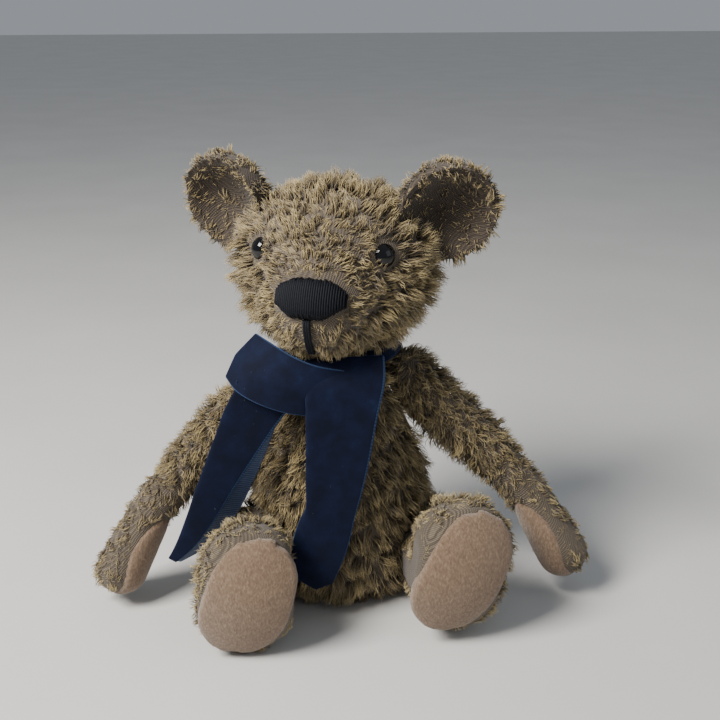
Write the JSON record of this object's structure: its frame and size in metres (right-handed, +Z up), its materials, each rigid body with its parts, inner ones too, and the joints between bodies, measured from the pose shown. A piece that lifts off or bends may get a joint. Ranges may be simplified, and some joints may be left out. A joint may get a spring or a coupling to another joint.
{
  "type": "jointed teddy bear",
  "caption": "Small seated mohair teddy bear with cupped ears, felt soles, a neck ribbon and a head and limbs that turn on disc joints.",
  "frame": {"origin": "middle of the bear's box, on the surface that it sits on", "axes": "+Z up, the torso faces -Y, +X is the bear's own left"},
  "size_m": [0.1248, 0.0616, 0.111],
  "materials": {
    "mohair": "distressed mohair pile, straw tips over a brown woven backing",
    "felt": "brushed felt",
    "velvet": "cotton velvet ribbon, satin back",
    "thread": "waxed embroidery thread",
    "black_glass": "polished",
    "filling": "loose fibre",
    "bag_cloth": "plain calico",
    "joint_card": "hard card",
    "steel": "bright"
  },
  "bodies": {
    "torso": {"torso_cover": "mohair", "torso_stuffing": "filling", "shot_bag": "bag_cloth", "torso_neck_disc": "joint_card", "torso_neck_washer": "steel", "torso_left_shoulder_disc": "joint_card", "torso_left_shoulder_washer": "steel", "torso_left_hip_disc": "joint_card", "torso_left_hip_washer": "steel", "torso_right_shoulder_disc": "joint_card", "torso_right_shoulder_washer": "steel", "torso_right_hip_disc": "joint_card", "torso_right_hip_washer": "steel", "ribbon_collar": "velvet", "ribbon_wrap": "velvet", "ribbon_left_tail": "velvet", "ribbon_right_tail": "velvet"},
    "head": {"head_cover": "mohair", "head_stuffing": "filling", "left_eye": "black_glass", "left_eye_wire": "steel", "left_ear": "mohair", "right_eye": "black_glass", "right_eye_wire": "steel", "right_ear": "mohair", "nose_stitching": "thread", "mouth_stitch": "thread", "head_disc": "joint_card", "head_washer": "steel", "neck_pin": "steel"},
    "left_arm": {"left_arm_cover": "mohair", "left_paw_pad": "felt", "left_arm_stuffing": "filling", "left_arm_disc": "joint_card", "left_arm_washer": "steel", "left_arm_pin": "steel"},
    "right_arm": {"right_arm_cover": "mohair", "right_paw_pad": "felt", "right_arm_stuffing": "filling", "right_arm_disc": "joint_card", "right_arm_washer": "steel", "right_arm_pin": "steel"},
    "left_leg": {"left_leg_cover": "mohair", "left_sole_pad": "felt", "left_leg_stuffing": "filling", "left_leg_disc": "joint_card", "left_leg_washer": "steel", "left_leg_pin": "steel"},
    "right_leg": {"right_leg_cover": "mohair", "right_sole_pad": "felt", "right_leg_stuffing": "filling", "right_leg_disc": "joint_card", "right_leg_washer": "steel", "right_leg_pin": "steel"}
  },
  "joints": [
    {"name": "neck_turn", "type": "hinge", "parent": "torso", "child": "head", "pos_m": [0.00039, 0.00969, 0.06515], "axis": [0, 0, 1], "continuous": true},
    {"name": "left_shoulder", "type": "hinge", "parent": "torso", "child": "left_arm", "pos_m": [0.01289, 0.00969, 0.053], "axis": [-0.9063, 0, -0.4226], "range_deg": [-77, 73]},
    {"name": "right_shoulder", "type": "hinge", "parent": "torso", "child": "right_arm", "pos_m": [-0.01211, 0.00969, 0.053], "axis": [-0.9063, 0, 0.4226], "range_deg": [-69, 81], "deforming": ["ribbon_right_tail", "ribbon_wrap"]},
    {"name": "left_hip", "type": "hinge", "parent": "torso", "child": "left_leg", "pos_m": [0.01389, 0.00969, 0.01], "axis": [-0.9986, -0.0523, 0], "range_deg": [-99, 16]},
    {"name": "right_hip", "type": "hinge", "parent": "torso", "child": "right_leg", "pos_m": [-0.01311, 0.00969, 0.01], "axis": [-0.9986, 0.0523, 0], "range_deg": [-95, 20]}
  ]
}
